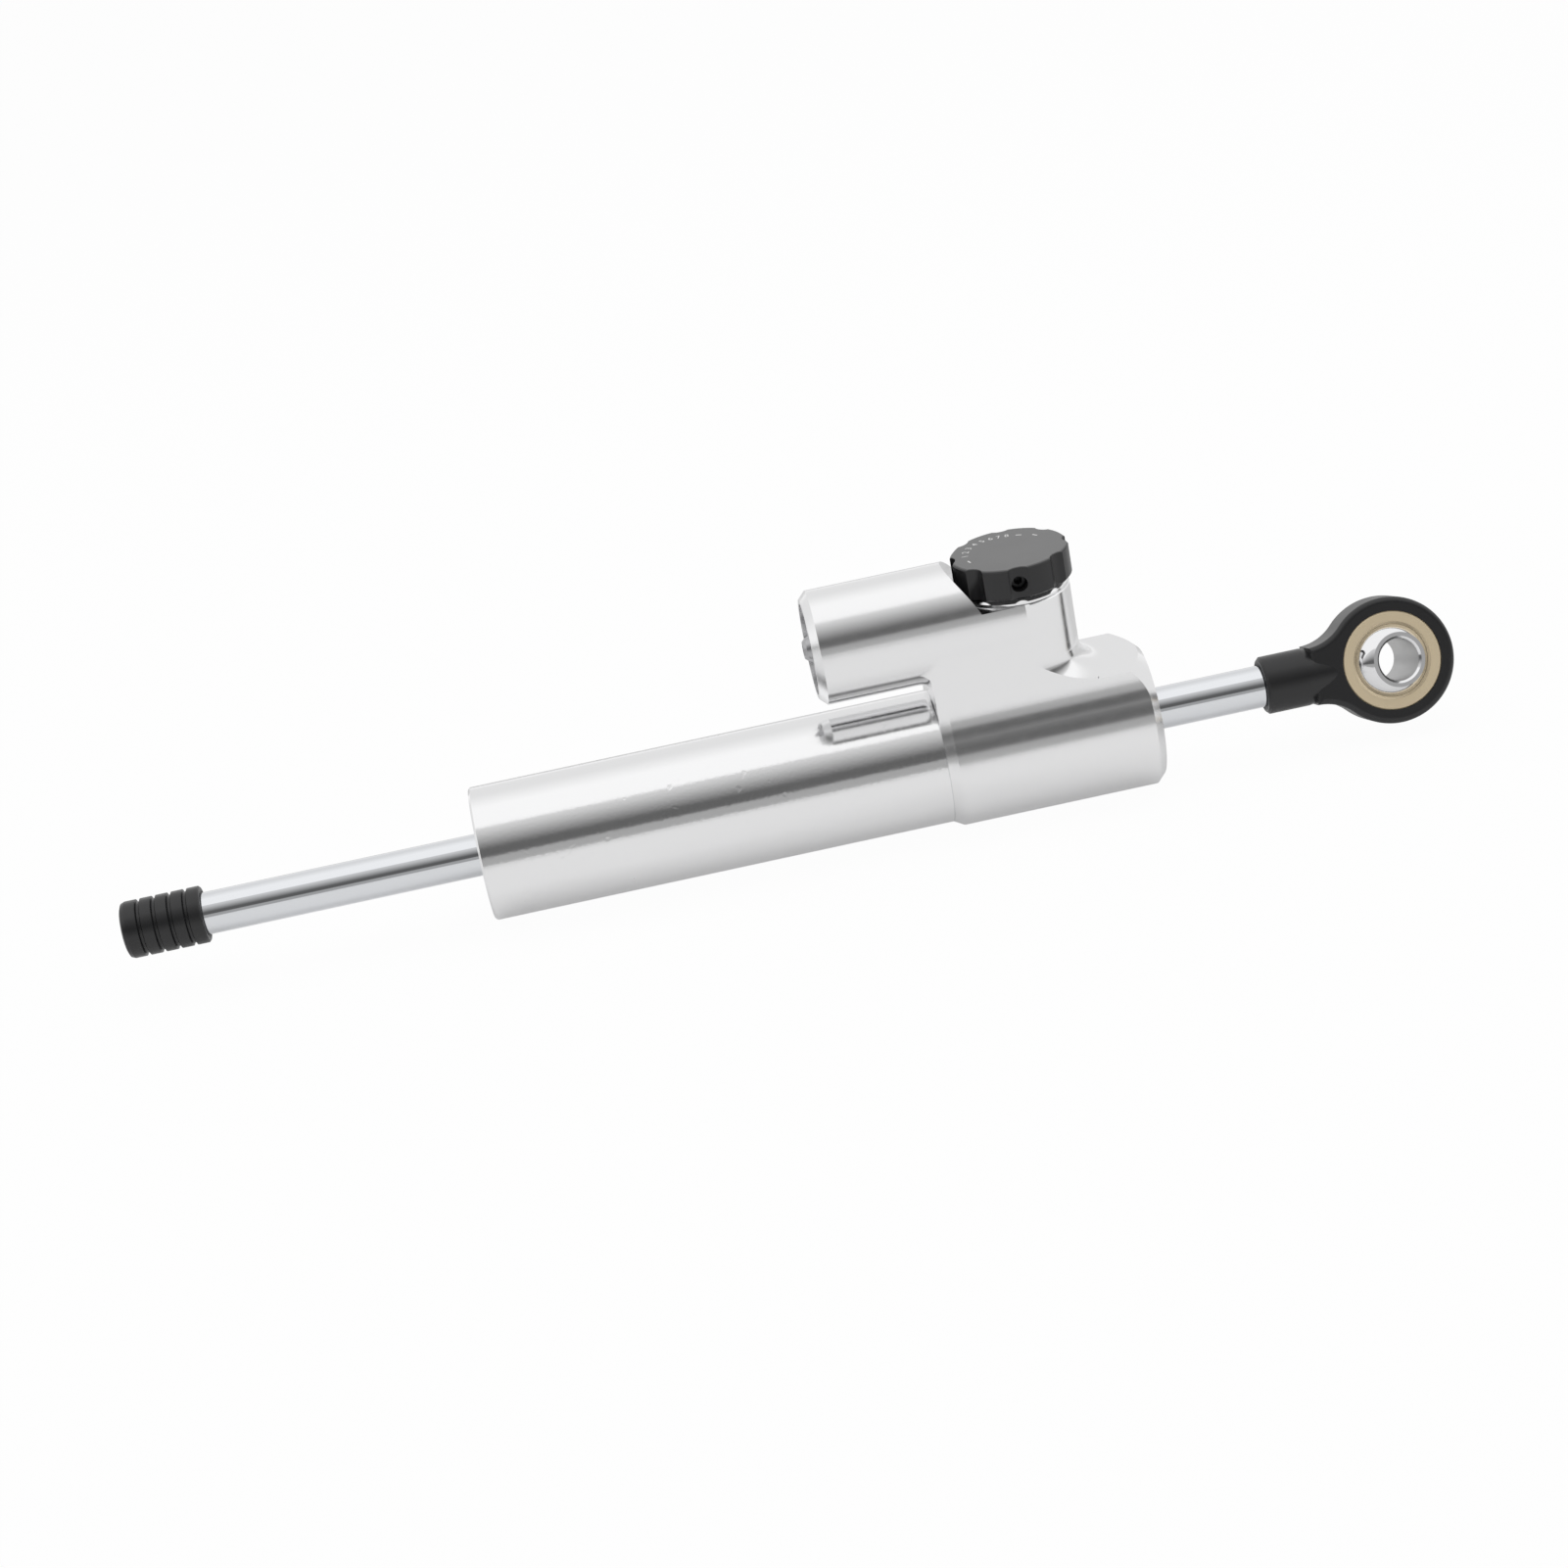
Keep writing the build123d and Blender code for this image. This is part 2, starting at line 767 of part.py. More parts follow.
def reservoir_lid():
    """Lid of the reservoir, with a seal groove and a tapped bleed hole."""
    outer = reservoir_bore / 2 - seat_gap
    groove = lid_thick / 2
    body = turned(
        (lid_x, bleed_d / 2 + seat_gap),
        (lid_x + lid_thick, bleed_d / 2 + seat_gap),
        (lid_x + lid_thick, outer - edge_break),
        (lid_x + lid_thick - edge_break, outer),
        (lid_x + edge_break, outer),
        (lid_x, outer - edge_break),
    )
    floor = outer - cord_d - seat_gap
    body -= ring(lid_x + groove - cord_d / 2, lid_x + groove + cord_d / 2, floor, outer + 1)
    return Pos(0, 0, reservoir_height) * body


def lid_ring():
    """Cord ring round the lid."""
    return o_ring(lid_x + lid_thick / 2, reservoir_bore / 2 - seat_gap, reservoir_height)


def lid_clip():
    """Retaining ring that holds the lid."""
    return inner_clip(reservoir_bore, lid_x - clip_thick, reservoir_height)


def bleed_screw():
    """Button-head bleed screw with a hexagon socket, in the middle of the lid."""
    seat = lid_x - washer_thick
    body = turned(
        (seat - bleed_head, 0),
        (seat - bleed_head, bleed_head_d / 2 - 0.9),
        (seat - bleed_head * 0.75, bleed_head_d / 2 - 0.35),
        (seat - bleed_head * 0.35, bleed_head_d / 2),
        (seat, bleed_head_d / 2),
        (seat, bleed_d / 2),
        (seat + washer_thick + bleed_length - 0.3, bleed_d / 2),
        (seat + washer_thick + bleed_length, bleed_d / 2 - 0.3),
        (seat + washer_thick + bleed_length, 0),
    )
    socket = RegularPolygon(bleed_socket / 2, 6, major_radius=False)
    body -= extrude(Plane.YZ.offset(seat - bleed_head) * socket, amount=1.1)
    return Pos(0, 0, reservoir_height) * body


def bleed_washer():
    """Sealing washer under the bleed screw."""
    body = ring(lid_x - washer_thick, lid_x, bleed_d / 2 + seat_gap, bleed_head_d / 2 + 0.4)
    return Pos(0, 0, reservoir_height) * body


def floating_piston():
    """Piston that parts the oil from the air as the oil swells, hollowed for its spring."""
    outer = reservoir_bore / 2 - run_gap
    middle = float_x - float_length / 2
    body = turned(
        (float_x, 0),
        (float_x, outer - edge_break),
        (float_x - edge_break, outer),
        (float_x - float_length + edge_break, outer),
        (float_x - float_length, outer - edge_break),
        (float_x - float_length, spring_r() - spring_wire),
        (float_x - float_length + 1.5, spring_r() - spring_wire),
        (float_x - float_length + 1.5, 0),
    )
    floor = outer - cord_d - seat_gap
    body -= ring(middle - cord_d / 2, middle + cord_d / 2, floor, outer + 1)
    return Pos(0, 0, reservoir_height) * body


def floating_piston_ring():
    """Cord ring round the floating piston."""
    return o_ring(float_x - float_length / 2, reservoir_bore / 2 - run_gap, reservoir_height)


def spring_r():
    """Mean radius of the compensating spring."""
    return reservoir_bore / 2 - 2.4


def compensating_spring():
    """Spring between the lid and the floating piston."""
    start = lid_x + lid_thick
    length = float_x - float_length - start
    spring = coil(spring_r(), spring_wire, length, spring_coils)
    return Pos(start, 0, reservoir_height) * Rot(Y=90) * spring


# Adjuster

def bonnet():
    """Screwed gland of the adjuster: a chamfered rim on the tower, a bore for the spindle and needle."""
    rim_r = web_r - bonnet_inset
    top = tower_height + bonnet_rim
    neck = spindle_d / 2 + run_gap
    collar_r = spindle_collar_d / 2 + 2 * run_gap
    ceiling = collar_top() + face_gap
    stem_r = bonnet_d / 2 - thread_gap
    body = stood(
        (neck, top),
        (rim_r - 0.6, top),
        (rim_r, top - 0.6),
        (rim_r, tower_height + rim_break),
        (rim_r - rim_break, tower_height),
        (stem_r, tower_height),
        (stem_r, bonnet_foot),
        (needle_d / 2 + run_gap, bonnet_foot),
        (needle_d / 2 + run_gap, collar_top() - spindle_collar - face_gap),
        (collar_r, collar_top() - spindle_collar - face_gap),
        (collar_r, ceiling),
        (neck, ceiling),
    )
    body -= stood(*ring_groove(neck, spindle_ring_z()))
    return body - click_hole()


def collar_top():
    """Height of the spindle collar's upper face, under the bonnet's neck."""
    return tower_height - 2.6


def ring_groove(inner, z):
    """Corners of a groove for a cord ring that seals on its inner side."""
    outer = inner + cord_d + seat_gap
    low = z - cord_d / 2
    high = z + cord_d / 2
    return ((inner - 0.1, low), (outer, low), (outer, high), (inner - 0.1, high))


def spindle_ring_z():
    """Height of the spindle's seal, midway in the bonnet's neck."""
    return (collar_top() + tower_height + bonnet_rim) / 2


def bonnet_ring():
    """Flat seal under the bonnet's foot."""
    inner = valve_bore_r + face_gap
    outer = bonnet_d / 2 - thread_gap
    low = bonnet_foot - bonnet_seal
    return stood((inner, low), (outer, low), (outer, bonnet_foot), (inner, bonnet_foot))


def spindle_ring():
    """Cord ring round the spindle."""
    middle_r = spindle_d / 2 + run_gap + cord_d / 2
    return Pos(valve_x, 0, spindle_ring_z()) * Torus(middle_r, cord_d / 2)


def click_floor():
    """Bottom of the click spring's hole in the tower."""
    return knob_z - knob_gap - click_rise - click_ball_d / 2 - click_spring_length


def click_hole():
    """Hole for the click spring and its ball, through the bonnet's rim into the tower."""
    depth = knob_z - click_floor()
    return drilled(valve_x + click_radius, 0, click_floor(), click_ball_d + 2 * run_gap, depth)


def click_ball():
    """Ball that clicks into the knob's dimples, pressed down in its running track."""
    return Pos(valve_x + click_radius, 0, click_ball_z()) * Sphere(click_ball_d / 2)


def click_ball_z():
    """Height of the click ball's centre between two dimples."""
    return knob_z + click_rise - click_ball_d / 2


def click_spring():
    """Small spring under the click ball."""
    length = click_ball_z() - click_ball_d / 2 * 0.9 - click_floor()
    spring = coil(click_ball_d / 2 - click_spring_wire, click_spring_wire, length, 4)
    return Pos(valve_x + click_radius, 0, click_floor()) * spring


def spindle():
    """Spindle: journal in the knob and bonnet, a collar that holds it in, a flat tang for the needle."""
    journal = spindle_d / 2
    top = knob_z + knob_height - knob_wall - face_gap
    low = collar_top() - spindle_collar
    body = stood(
        (0, low),
        (spindle_collar_d / 2, low),
        (spindle_collar_d / 2, collar_top()),
        (journal, collar_top()),
        (journal, top - edge_break),
        (journal - edge_break, top),
        (0, top),
    )
    tang = Box(needle_d - 2.2, tang_width, tang_length, align=(Align.CENTER, Align.CENTER, Align.MAX))
    return body + Pos(valve_x, 0, low) * tang


def needle():
    """Needle: a threaded body slotted for the tang, and a taper that closes the orifice."""
    seat_z = valve_floor + needle_lift
    shoulder = seat_z + 3.0
    top = collar_top() - spindle_collar - needle_headroom
    thread = needle_d / 2
    tip = needle_tip_d / 2
    body = stood(
        (0, seat_z - 1.2),
        (tip * 0.35, seat_z - 1.2),
        (tip, seat_z + 0.6),
        (tip, shoulder),
        (thread - 0.4, shoulder),
        (thread, shoulder + 0.4),
        (thread, top - edge_break),
        (thread - edge_break, top),
        (0, top),
    )
    depth = tang_length - needle_headroom + 0.3
    slot = Box(needle_d - 2.0, tang_width + 0.2, depth, align=(Align.CENTER, Align.CENTER, Align.MAX))
    return body - Pos(valve_x, 0, top) * slot


def knob():
    """Fluted knob with a blind bore, a tapped hole for its screw and a dimpled click track below."""
    outer = knob_d / 2
    top = knob_z + knob_height
    body = stood(
        (0, knob_z),
        (outer - 0.4, knob_z),
        (outer, knob_z + 0.4),
        (outer, top - 0.4),
        (outer - 0.4, top),
        (0, top),
    )
    flute = Cylinder(flute_radius, 3 * knob_height)
    for n in range(flute_count):
        turn = flute_turn - 90 + 360 * n / flute_count
        body -= Pos(valve_x, 0, knob_z) * Rot(Z=turn) * Pos(outer + flute_radius - flute_depth, 0, 0) * flute
    bore = spindle_d / 2 + seat_gap
    body -= stood((0, knob_z - 1), (bore, knob_z - 1), (bore, top - knob_wall), (0, top - knob_wall))
    track = click_ball_d / 2
    floor = knob_z + click_rise + run_gap
    body -= stood(
        (click_radius - track, knob_z - 1),
        (click_radius + track, knob_z - 1),
        (click_radius + track, floor),
        (click_radius - track, floor),
    )
    dimple = Sphere(click_ball_d / 2 + run_gap)
    for n in range(flute_count):
        place = Rot(Z=360 * n / flute_count) * Pos(click_radius, 0, click_ball_z() + click_rise)
        body -= Pos(valve_x, 0, 0) * place * dimple
    return body - grub_place() * Cylinder(grub_d / 2 + seat_gap, knob_d, align=stand)


def grub_place():
    """Local frame of the knob's screw: its point on the spindle, its +Z outwards."""
    turn = flute_turn - 90
    reach = spindle_d / 2 + seat_gap
    frame = Pos(valve_x, 0, knob_z + grub_height) * Rot(Z=turn) * Pos(reach, 0, 0)
    return frame * Rot(Y=90)


def grub_screw():
    """Set screw with a cone point and a hexagon socket, in the middle of one flute."""
    radius = grub_d / 2
    body = Cylinder(radius, grub_length, align=stand)
    ends = body.edges().filter_by(GeomType.CIRCLE)
    body = chamfer(ends.group_by(Axis.Z)[0], 0.6)
    body = chamfer(body.edges().filter_by(GeomType.CIRCLE).group_by(Axis.Z)[-1], 0.2)
    socket = extrude(RegularPolygon(grub_socket / 2, 6, major_radius=False), amount=1.8)
    return grub_place() * (body - Pos(0, 0, grub_length - 1.8) * socket)


nodes = {
    "valve_head": valve_head,
    "outer_tube": outer_tube,
    "working_tube": working_tube,
    "tube_ring": tube_ring,
    "left_gland": left_gland,
    "left_gland_ring": left_gland_ring,
    "left_bush": left_bush,
    "left_seal": left_seal,
    "left_clip": left_clip,
    "right_guide": right_guide,
    "right_guide_ring": right_guide_ring,
    "right_bush": right_bush,
    "right_seal": right_seal,
    "nose_wiper": nose_wiper,
    "rod": rod,
    "piston_clips": piston_clips,
    "piston": piston,
    "piston_band": piston_band,
    "piston_seal": piston_seal,
    "rod_cap": rod_cap,
    "rod_end_housing": rod_end_housing,
    "bearing_race": bearing_race,
    "bearing_ball": bearing_ball,
    "reservoir_lid": reservoir_lid,
    "lid_ring": lid_ring,
    "lid_clip": lid_clip,
    "bleed_screw": bleed_screw,
    "bleed_washer": bleed_washer,
    "floating_piston": floating_piston,
    "floating_piston_ring": floating_piston_ring,
    "compensating_spring": compensating_spring,
    "bonnet": bonnet,
    "bonnet_ring": bonnet_ring,
    "spindle_ring": spindle_ring,
    "click_ball": click_ball,
    "click_spring": click_spring,
    "spindle": spindle,
    "needle": needle,
    "knob": knob,
    "grub_screw": grub_screw,
}

os.makedirs("parts", exist_ok=True)
for name, make in nodes.items():
    export_step(make(), "parts/" + name + ".step")
    print(name)
print("ball centre to adjuster axis", round(-valve_x, 3))
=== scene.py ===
import json
import math

import bmesh
import bpy
import numpy as np
from mathutils import Matrix, Vector


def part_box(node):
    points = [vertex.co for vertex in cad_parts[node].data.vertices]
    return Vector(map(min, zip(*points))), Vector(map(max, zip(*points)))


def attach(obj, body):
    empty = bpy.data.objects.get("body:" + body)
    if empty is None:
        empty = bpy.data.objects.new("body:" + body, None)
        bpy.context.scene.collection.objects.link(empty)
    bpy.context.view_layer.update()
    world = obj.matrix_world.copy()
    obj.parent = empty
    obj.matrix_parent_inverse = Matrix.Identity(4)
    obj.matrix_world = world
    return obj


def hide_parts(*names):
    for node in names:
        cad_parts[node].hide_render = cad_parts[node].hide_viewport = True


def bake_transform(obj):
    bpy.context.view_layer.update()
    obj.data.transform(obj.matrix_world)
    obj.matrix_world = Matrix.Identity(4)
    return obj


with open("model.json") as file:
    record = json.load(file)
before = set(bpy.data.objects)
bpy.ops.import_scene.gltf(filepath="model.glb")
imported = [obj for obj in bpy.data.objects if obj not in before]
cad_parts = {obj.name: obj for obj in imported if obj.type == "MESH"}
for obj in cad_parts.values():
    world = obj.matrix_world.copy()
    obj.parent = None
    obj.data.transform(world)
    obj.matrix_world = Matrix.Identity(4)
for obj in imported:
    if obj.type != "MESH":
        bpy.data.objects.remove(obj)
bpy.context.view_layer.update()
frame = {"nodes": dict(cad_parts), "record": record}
nodes = frame["nodes"]
print("frame loaded:", len(nodes), "nodes")

# Places taken from the CAD nodes, in metres
knobLow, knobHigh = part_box("knob")
knobAxis = Vector(((knobLow.x + knobHigh.x) / 2, 0, knobHigh.z))
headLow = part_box("valve_head")[0]


# Camera

cameraLook = {
    "place": (-0.1406, -0.5399, 0.2360),
    "right": (0.97678, -0.12024, -0.17734),
    "down": (-0.21042, -0.38235, -0.89974),
    "ahead": (0.04038, 0.91616, -0.39878),
    "focalPixels": 3200.0,
    "imagePixels": 1601,
    "sensor": 36.0,
}


def makeCamera(look):
    data = bpy.data.cameras.new("camera")
    data.sensor_width = look["sensor"]
    data.lens = look["focalPixels"] / look["imagePixels"] * look["sensor"]
    data.clip_start = 0.01
    data.clip_end = 20
    camera = bpy.data.objects.new("camera", data)
    bpy.context.scene.collection.objects.link(camera)
    right, down, ahead = (Vector(look[k]) for k in ("right", "down", "ahead"))
    turn = Matrix((right, -down, -ahead)).transposed().to_4x4()
    camera.matrix_world = Matrix.Translation(look["place"]) @ turn
    bpy.context.scene.camera = camera


makeCamera(cameraLook)
print("camera placed")


# Meshes worked out with numpy

def gridMesh(name, points, closedU=False, closedV=False):
    # points has the shape (u, v, 3); each cell of the grid becomes one quad
    nu, nv = points.shape[:2]
    index = np.arange(nu * nv).reshape(nu, nv)
    if closedU:
        index = np.vstack([index, index[:1]])
    if closedV:
        index = np.hstack([index, index[:, :1]])
    corners = [index[:-1, :-1], index[1:, :-1], index[1:, 1:], index[:-1, 1:]]
    quads = np.stack(corners, axis=-1).reshape(-1, 4)
    mesh = bpy.data.meshes.new(name)
    mesh.from_pydata(points.reshape(-1, 3).tolist(), [], quads.tolist())
    mesh.shade_smooth()
    item = bpy.data.objects.new(name, mesh)
    bpy.context.scene.collection.objects.link(item)
    return item


# Material helpers

def newMaterial(name, **sockets):
    material = bpy.data.materials.new(name)
    material.use_nodes = True
    shader = material.node_tree.nodes["Principled BSDF"]
    for key, value in sockets.items():
        shader.inputs[key.replace("_", " ")].default_value = value
    return material, material.node_tree, shader


def addNode(tree, kind, **values):
    node = tree.nodes.new(kind)
    for key, value in values.items():
        setattr(node, key, value)
    return node


def mathNode(tree, operation, first, second=None, clamp=False):
    node = addNode(tree, "ShaderNodeMath", operation=operation, use_clamp=clamp)
    for socket, value in zip(node.inputs, (first, second)):
        if value is None:
            continue
        if hasattr(value, "is_linked"):
            tree.links.new(value, socket)
        else:
            socket.default_value = value
    return node.outputs[0]


def objectCoords(tree, location=(0, 0, 0), rotation=(0, 0, 0), scale=(1, 1, 1)):
    coords = addNode(tree, "ShaderNodeTexCoord")
    mapping = addNode(tree, "ShaderNodeMapping")
    mapping.inputs["Location"].default_value = location
    mapping.inputs["Rotation"].default_value = rotation
    mapping.inputs["Scale"].default_value = scale
    tree.links.new(coords.outputs["Object"], mapping.inputs["Vector"])
    return mapping.outputs["Vector"]


def noiseNode(tree, vector, scale, detail=3.0, rough=0.5):
    noise = addNode(tree, "ShaderNodeTexNoise")
    noise.inputs["Scale"].default_value = scale
    noise.inputs["Detail"].default_value = detail
    noise.inputs["Roughness"].default_value = rough
    tree.links.new(vector, noise.inputs["Vector"])
    return noise.outputs["Fac"]


def rangeNode(tree, value, fromLow, fromHigh, toLow, toHigh):
    node = addNode(tree, "ShaderNodeMapRange")
    tree.links.new(value, node.inputs["Value"])
    names = ("From Min", "From Max", "To Min", "To Max")
    for socket, number in zip(names, (fromLow, fromHigh, toLow, toHigh)):
        node.inputs[socket].default_value = number
    return node.outputs["Result"]


def makeGrainGroup():
    # Fine machining grain: noise stretched along one axis, put out as a height and as a 0..1 mask
    group = bpy.data.node_groups.new("finishGrain", "ShaderNodeTree")
    face = group.interface
    face.new_socket("Vector", in_out="INPUT", socket_type="NodeSocketVector")
    fine = face.new_socket("Fine scale", in_out="INPUT", socket_type="NodeSocketFloat")
    fine.default_value = 900.0
    broad = face.new_socket("Broad scale", in_out="INPUT", socket_type="NodeSocketFloat")
    broad.default_value = 40.0
    face.new_socket("Grain", in_out="OUTPUT", socket_type="NodeSocketFloat")
    face.new_socket("Cloud", in_out="OUTPUT", socket_type="NodeSocketFloat")
    entry = group.nodes.new("NodeGroupInput")
    leave = group.nodes.new("NodeGroupOutput")
    for output, scaleName in (("Grain", "Fine scale"), ("Cloud", "Broad scale")):
        noise = group.nodes.new("ShaderNodeTexNoise")
        noise.inputs["Detail"].default_value = 2.0 if output == "Grain" else 4.0
        group.links.new(entry.outputs["Vector"], noise.inputs["Vector"])
        group.links.new(entry.outputs[scaleName], noise.inputs["Scale"])
        group.links.new(noise.outputs["Fac"], leave.inputs[output])
    return group


grainGroup = makeGrainGroup()


def grained(tree, vector, fineScale, broadScale):
    node = addNode(tree, "ShaderNodeGroup", node_tree=grainGroup)
    tree.links.new(vector, node.inputs["Vector"])
    node.inputs["Fine scale"].default_value = fineScale
    node.inputs["Broad scale"].default_value = broadScale
    return node.outputs["Grain"], node.outputs["Cloud"]


def bumpFrom(tree, shader, height, distance, strength=1.0):
    bump = addNode(tree, "ShaderNodeBump")
    bump.inputs["Strength"].default_value = strength
    bump.inputs["Distance"].default_value = distance
    tree.links.new(height, bump.inputs["Height"])
    tree.links.new(bump.outputs["Normal"], shader.inputs["Normal"])


# How grain and broad cloud share the roughness, the noise values over which it runs from low to high,
# what a pit adds to it and takes from the height, and a bore's edge and ramp as shares of its radius
surface = {
    "grainShare": 0.6,
    "cloudShare": 0.4,
    "mixSpan": (0.35, 0.65),
    "cloudSpan": (0.3, 0.7),
    "toothBroad": 90,
    "pitFrom": 0.70,
    "pitTo": 0.78,
    "pitRough": 0.15,
    "pitDepth": 2.0,
    "boreEdge": 1.02,
    "boreSpan": (0.9, 1.1),
}


def axisRadius(tree, turns):
    # Distance from an axis through the origin, which the turns in degrees bring onto Y
    parts = addNode(tree, "ShaderNodeSeparateXYZ")
    tree.links.new(objectCoords(tree, rotation=tuple(math.radians(turn) for turn in turns)), parts.inputs[0])
    squares = [mathNode(tree, "MULTIPLY", parts.outputs[k], parts.outputs[k]) for k in ("X", "Z")]
    return mathNode(tree, "SQRT", mathNode(tree, "ADD", *squares))


def toneRamp(tree, value, stops, low, high):
    # Greys or colours at the places of the stops, between low and high
    ramp = addNode(tree, "ShaderNodeValToRGB")
    tree.links.new(rangeNode(tree, value, low, high, 0.0, 1.0), ramp.inputs["Fac"])
    elements = ramp.color_ramp.elements
    while len(elements) < len(stops):
        elements.new(0.5)
    for element, (place, tone) in zip(elements, stops):
        element.position = (place - low) / (high - low)
        element.color = (*tone, 1) if isinstance(tone, tuple) else (tone, tone, tone, 1)
    return ramp.outputs["Color"]


def metalFinish(name, look):
    # Metal whose roughness and height follow a stretched grain, with sparse small pits where asked for
    material, tree, shader = newMaterial(name, Base_Color=(*look["color"], 1), Metallic=1.0)
    vector = objectCoords(tree, scale=look["stretch"])
    grain, cloud = grained(tree, vector, look["fine"], look["broad"])
    fineShare = mathNode(tree, "MULTIPLY", grain, surface["grainShare"])
    broadShare = mathNode(tree, "MULTIPLY", cloud, surface["cloudShare"])
    mixed = mathNode(tree, "ADD", fineShare, broadShare)
    rough = rangeNode(tree, mixed, *surface["mixSpan"], look["roughLow"], look["roughHigh"])
    height = grain
    if "pits" in look:
        spots = noiseNode(tree, objectCoords(tree), look["pits"], 1.0)
        speck = rangeNode(tree, spots, surface["pitFrom"], surface["pitTo"], 0.0, 1.0)
        rough = mathNode(tree, "ADD", rough, mathNode(tree, "MULTIPLY", speck, surface["pitRough"]))
        height = mathNode(tree, "SUBTRACT", grain, mathNode(tree, "MULTIPLY", speck, surface["pitDepth"]))
    if "bore" in look:
        # Bore: rougher, and darker in base colour, inside the stated radius
        size, turns, dark, dull = look["bore"]
        radius = axisRadius(tree, turns)
        edge = size * surface["boreEdge"]
        stops = ((size, (dark, dark, dark)), (edge, look["color"]))
        low, high = (share * size for share in surface["boreSpan"])
        tree.links.new(toneRamp(tree, radius, stops, low, high), shader.inputs["Base Color"])
        rough = mathNode(tree, "ADD", rough, rangeNode(tree, radius, size, edge, dull, 0.0))
    tree.links.new(rough, shader.inputs["Roughness"])
    bumpFrom(tree, shader, height, look["bump"])
    return material


def turnedFinish(name, look):
    # Rings left by turning: noise that depends only on the distance from the eye's axis
    material, tree, shader = newMaterial(name, Base_Color=(*look["color"], 1), Metallic=look["metallic"])
    radius = axisRadius(tree, (look["axisTurn"], 0, 0))
    joined = addNode(tree, "ShaderNodeCombineXYZ")
    tree.links.new(radius, joined.inputs["X"])
    rings, cloud = grained(tree, joined.outputs[0], look["fine"], look["broad"])
    rough = rangeNode(tree, cloud, *surface["cloudSpan"], look["roughLow"], look["roughHigh"])
    tree.links.new(rough, shader.inputs["Roughness"])
    bumpFrom(tree, shader, rings, look["bump"])
    return material


finishes = {
    "polished_aluminium": {"color": (0.93, 0.93, 0.935), "stretch": (0.5, 1, 1), "fine": 800, "broad": 45,
                           "roughLow": 0.15, "roughHigh": 0.20, "bump": 0.0000015},
    "brushed_tube": {"color": (0.93, 0.93, 0.935), "stretch": (1, 1, 1), "fine": 1700, "broad": 60,
                     "roughLow": 0.10, "roughHigh": 0.15, "bump": 0.000009, "pits": 420},
    "chromed_rod": {"color": (0.82, 0.835, 0.86), "stretch": (1, 0.3, 0.3), "fine": 1500, "broad": 50,
                    "roughLow": 0.04, "roughHigh": 0.08, "bump": 0.0000004},
    "ball_steel": {"color": (0.86, 0.86, 0.87), "stretch": (1, 1, 1), "fine": 900, "broad": 60,
                   "roughLow": 0.05, "roughHigh": 0.10, "bump": 0.0000006,
                   "bore": (0.00403, (18.0, 0.0, -10.0), 0.52, 0.30)},
    "bush_bronze": {"color": (0.52, 0.38, 0.22), "stretch": (1, 1, 1), "fine": 1200, "broad": 120,
                    "roughLow": 0.30, "roughHigh": 0.45, "bump": 0.000002},
    "inner_steel": {"color": (0.55, 0.55, 0.56), "stretch": (1, 1, 1), "fine": 900, "broad": 80,
                    "roughLow": 0.20, "roughHigh": 0.32, "bump": 0.000001},
}

turnedFinishes = {
    "race_brass": {"color": (0.92, 0.77, 0.53), "metallic": 0.5, "axisTurn": 18.0, "fine": 3800, "broad": 900,
                   "roughLow": 0.24, "roughHigh": 0.36, "bump": 0.000004},
}

plainFinishes = {
    "black_anodised": {"color": (0.017, 0.017, 0.018), "rough": (0.27, 0.35), "level": 0.50,
                       "fine": 2600, "bump": 0.000003,
                       # The knob's top face, above this height, is painted lighter grey than its sides: a
                       # painted sheen for the light from above
                       "face": ("Z", 0.03735, 0.03750, (0.135, 0.135, 0.136), 0.0)},
    "seal_rubber": {"color": (0.012, 0.012, 0.012), "rough": (0.55, 0.70), "level": 0.4,
                    "fine": 900, "bump": 0.000006},
    "dark_screw": {"color": (0.016, 0.016, 0.018), "rough": (0.30, 0.42), "level": 0.5,
                   "fine": 1500, "bump": 0.000002,
                   "face": ("X", -0.0900, -0.0950, (0.50, 0.50, 0.51), 1.0)},
    "band_plastic": {"color": (0.06, 0.10, 0.08), "rough": (0.45, 0.60), "level": 0.5,
                     "fine": 900, "bump": 0.000003},
}


def darkFinish(name, look):
    # Dull or satin dark surface with a fine even tooth
    material, tree, shader = newMaterial(name, Base_Color=(*look["color"], 1), Metallic=0.0,
                                         Specular_IOR_Level=look["level"])
    grain, cloud = grained(tree, objectCoords(tree), look["fine"], surface["toothBroad"])
    tree.links.new(rangeNode(tree, cloud, *surface["cloudSpan"], *look["rough"]), shader.inputs["Roughness"])
    bumpFrom(tree, shader, grain, look["bump"])
    if "face" in look:
        # Another tone past a plane across one axis: first and last place, colour and metalness. On
        # black_anodised this is a painted sheen: the knob's top face is painted lighter grey than its sides
        # for the light from above. On dark_screw it is the own metal grey of the screw at the reservoir's
        # left end
        axis, first, last, color, metalness = look["face"]
        parts = addNode(tree, "ShaderNodeSeparateXYZ")
        tree.links.new(objectCoords(tree), parts.inputs[0])
        share = rangeNode(tree, parts.outputs[axis], first, last, 0.0, 1.0)
        stops = ((0.0, look["color"]), (1.0, color))
        tree.links.new(toneRamp(tree, share, stops, 0.0, 1.0), shader.inputs["Base Color"])
        if metalness:
            tree.links.new(mathNode(tree, "MULTIPLY", share, metalness), shader.inputs["Metallic"])
    return material


materials = {name: metalFinish(name, look) for name, look in finishes.items()}
materials.update({name: turnedFinish(name, look) for name, look in turnedFinishes.items()})
materials.update({name: darkFinish(name, look) for name, look in plainFinishes.items()})
slotOf = {entry["node"]: entry["material_slot"] for entry in frame["record"]["subparts"]}
for name, item in nodes.items():
    item.data.materials.clear()
    item.data.materials.append(materials[slotOf[name]])
print("materials set on", len(nodes), "nodes")
